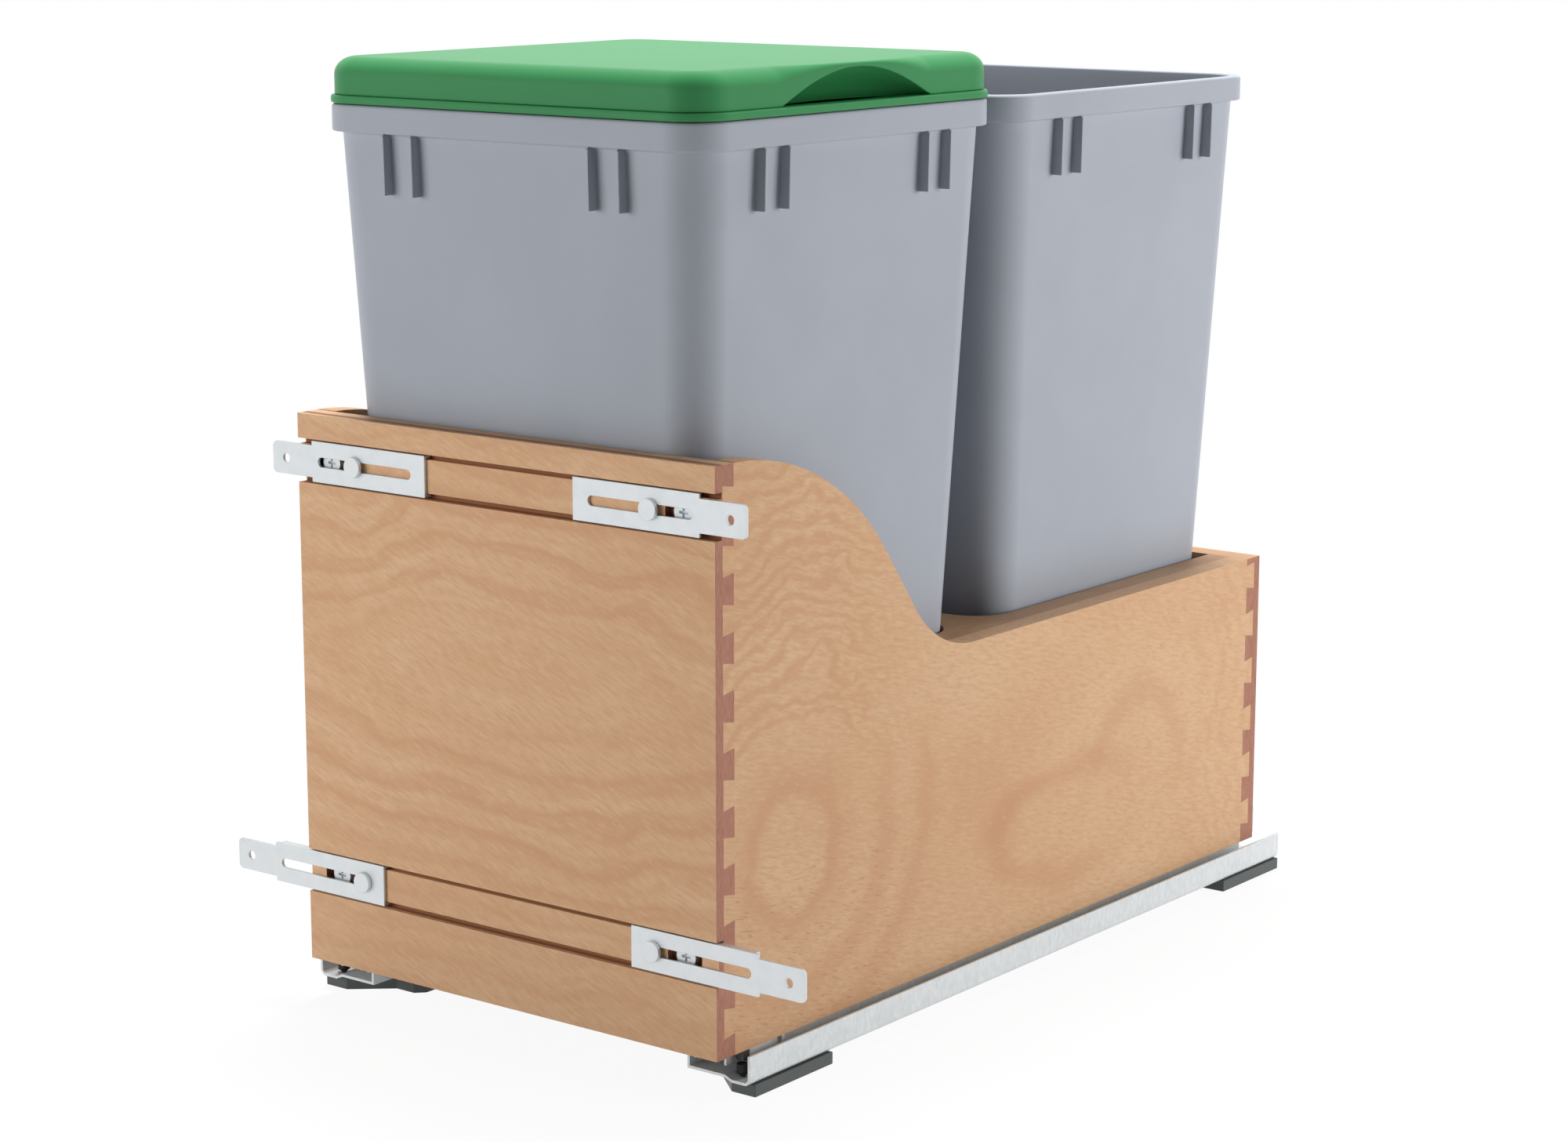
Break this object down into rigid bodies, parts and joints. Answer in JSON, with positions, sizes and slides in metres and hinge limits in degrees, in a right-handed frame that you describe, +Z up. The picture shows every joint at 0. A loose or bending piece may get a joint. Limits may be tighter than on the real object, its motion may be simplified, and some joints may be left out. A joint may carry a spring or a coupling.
{
  "type": "pull-out waste bin frame",
  "caption": "Pull-out waste bin frame: dovetailed wood tray on full-extension bottom slides, with lift-out square bins, a lift-off lid and sliding door brackets.",
  "frame": {"origin": "middle of the overall box in plan, on the surface that the feet stand on", "axes": "+Z up, +Y from the door side to the back of the cabinet, +X to the right seen from the front"},
  "size_m": [0.3988, 0.553, 0.5175],
  "materials": {
    "maple": "clear satin lacquer",
    "bright_zinc": "bright zinc plate",
    "galvanised_steel": "galvanised",
    "ball_steel": "polished",
    "brass": "turned",
    "grey_plastic": "fine texture",
    "green_plastic": "fine texture",
    "dark_plastic": "moulded",
    "pale_plastic": "moulded",
    "foot_plastic": "moulded",
    "black_rubber": "matt"
  },
  "bodies": {
    "cabinet_side": {"left_cabinet_rail": "galvanised_steel", "right_cabinet_rail": "galvanised_steel", "front_bumpers": "black_rubber", "front_left_foot": "foot_plastic", "front_right_foot": "foot_plastic", "rear_left_foot": "foot_plastic", "rear_right_foot": "foot_plastic", "foot_rivets": "bright_zinc"},
    "tray": {"front_panel": "maple", "rear_panel": "maple", "left_side_panel": "maple", "right_side_panel": "maple", "floor_panel": "maple", "can_deck": "maple", "deck_battens": "maple", "clamp_studs": "bright_zinc", "stud_inserts": "brass", "pan_head_screws": "bright_zinc", "left_tray_rail": "galvanised_steel", "right_tray_rail": "galvanised_steel", "left_front_clip": "pale_plastic", "right_front_clip": "pale_plastic", "left_rear_bracket": "galvanised_steel", "right_rear_bracket": "galvanised_steel", "rear_bracket_screws": "bright_zinc"},
    "middle_rails": {"left_middle_rail": "galvanised_steel", "right_middle_rail": "galvanised_steel"},
    "lower_cages": {"left_lower_cage": "dark_plastic", "right_lower_cage": "dark_plastic", "left_lower_balls": "ball_steel", "right_lower_balls": "ball_steel"},
    "upper_cages": {"left_upper_cage": "dark_plastic", "right_upper_cage": "dark_plastic", "left_upper_balls": "ball_steel", "right_upper_balls": "ball_steel"},
    "upper_left_bracket": {"upper_left_bracket": "bright_zinc"},
    "upper_right_bracket": {"upper_right_bracket": "bright_zinc"},
    "lower_left_bracket": {"lower_left_bracket": "bright_zinc"},
    "lower_right_bracket": {"lower_right_bracket": "bright_zinc"},
    "left_release_lever": {"left_release_lever": "dark_plastic"},
    "right_release_lever": {"right_release_lever": "dark_plastic"},
    "front_bin": {"front_can": "grey_plastic"},
    "rear_bin": {"rear_can": "grey_plastic"},
    "lid": {"can_lid": "green_plastic"}
  },
  "joints": [
    {"name": "tray_slide", "type": "slide", "parent": "cabinet_side", "child": "tray", "axis": [0, -1, 0], "range_m": [0, 0.508]},
    {"name": "middle_rail_slide", "type": "slide", "parent": "cabinet_side", "child": "middle_rails", "axis": [0, -1, 0], "range_m": [0, 0.254]},
    {"name": "lower_cage_slide", "type": "slide", "parent": "cabinet_side", "child": "lower_cages", "axis": [0, -1, 0], "range_m": [0, 0.127]},
    {"name": "upper_cage_slide", "type": "slide", "parent": "middle_rails", "child": "upper_cages", "axis": [0, -1, 0], "range_m": [0, 0.127]},
    {"name": "upper_left_bracket_slide", "type": "slide", "parent": "tray", "child": "upper_left_bracket", "axis": [-1, 0, 0], "range_m": [-0.0245, 0.038]},
    {"name": "upper_right_bracket_slide", "type": "slide", "parent": "tray", "child": "upper_right_bracket", "axis": [1, 0, 0], "range_m": [-0.0245, 0.038]},
    {"name": "lower_left_bracket_slide", "type": "slide", "parent": "tray", "child": "lower_left_bracket", "axis": [-1, 0, 0], "range_m": [-0.0605, 0.0018]},
    {"name": "lower_right_bracket_slide", "type": "slide", "parent": "tray", "child": "lower_right_bracket", "axis": [1, 0, 0], "range_m": [-0.0605, 0.0018]},
    {"name": "left_lever_push", "type": "slide", "parent": "tray", "child": "left_release_lever", "axis": [-1, 0, 0], "range_m": [0, 0.004], "stiffness_N_per_m": 300},
    {"name": "right_lever_push", "type": "slide", "parent": "tray", "child": "right_release_lever", "axis": [1, 0, 0], "range_m": [0, 0.004], "stiffness_N_per_m": 300},
    {"name": "front_bin_lift", "type": "slide", "parent": "tray", "child": "front_bin", "axis": [0, 0, 1], "range_m": [0, 0.46]},
    {"name": "rear_bin_lift", "type": "slide", "parent": "tray", "child": "rear_bin", "axis": [0, 0, 1], "range_m": [0, 0.46]},
    {"name": "lid_lift", "type": "slide", "parent": "front_bin", "child": "lid", "axis": [0, 0, 1], "range_m": [0, 0.2]}
  ],
  "couplings": [
    {"joint": "middle_rail_slide", "follows": "tray_slide", "ratio": 0.5},
    {"joint": "lower_cage_slide", "follows": "tray_slide", "ratio": 0.25},
    {"joint": "upper_cage_slide", "follows": "tray_slide", "ratio": 0.25}
  ]
}
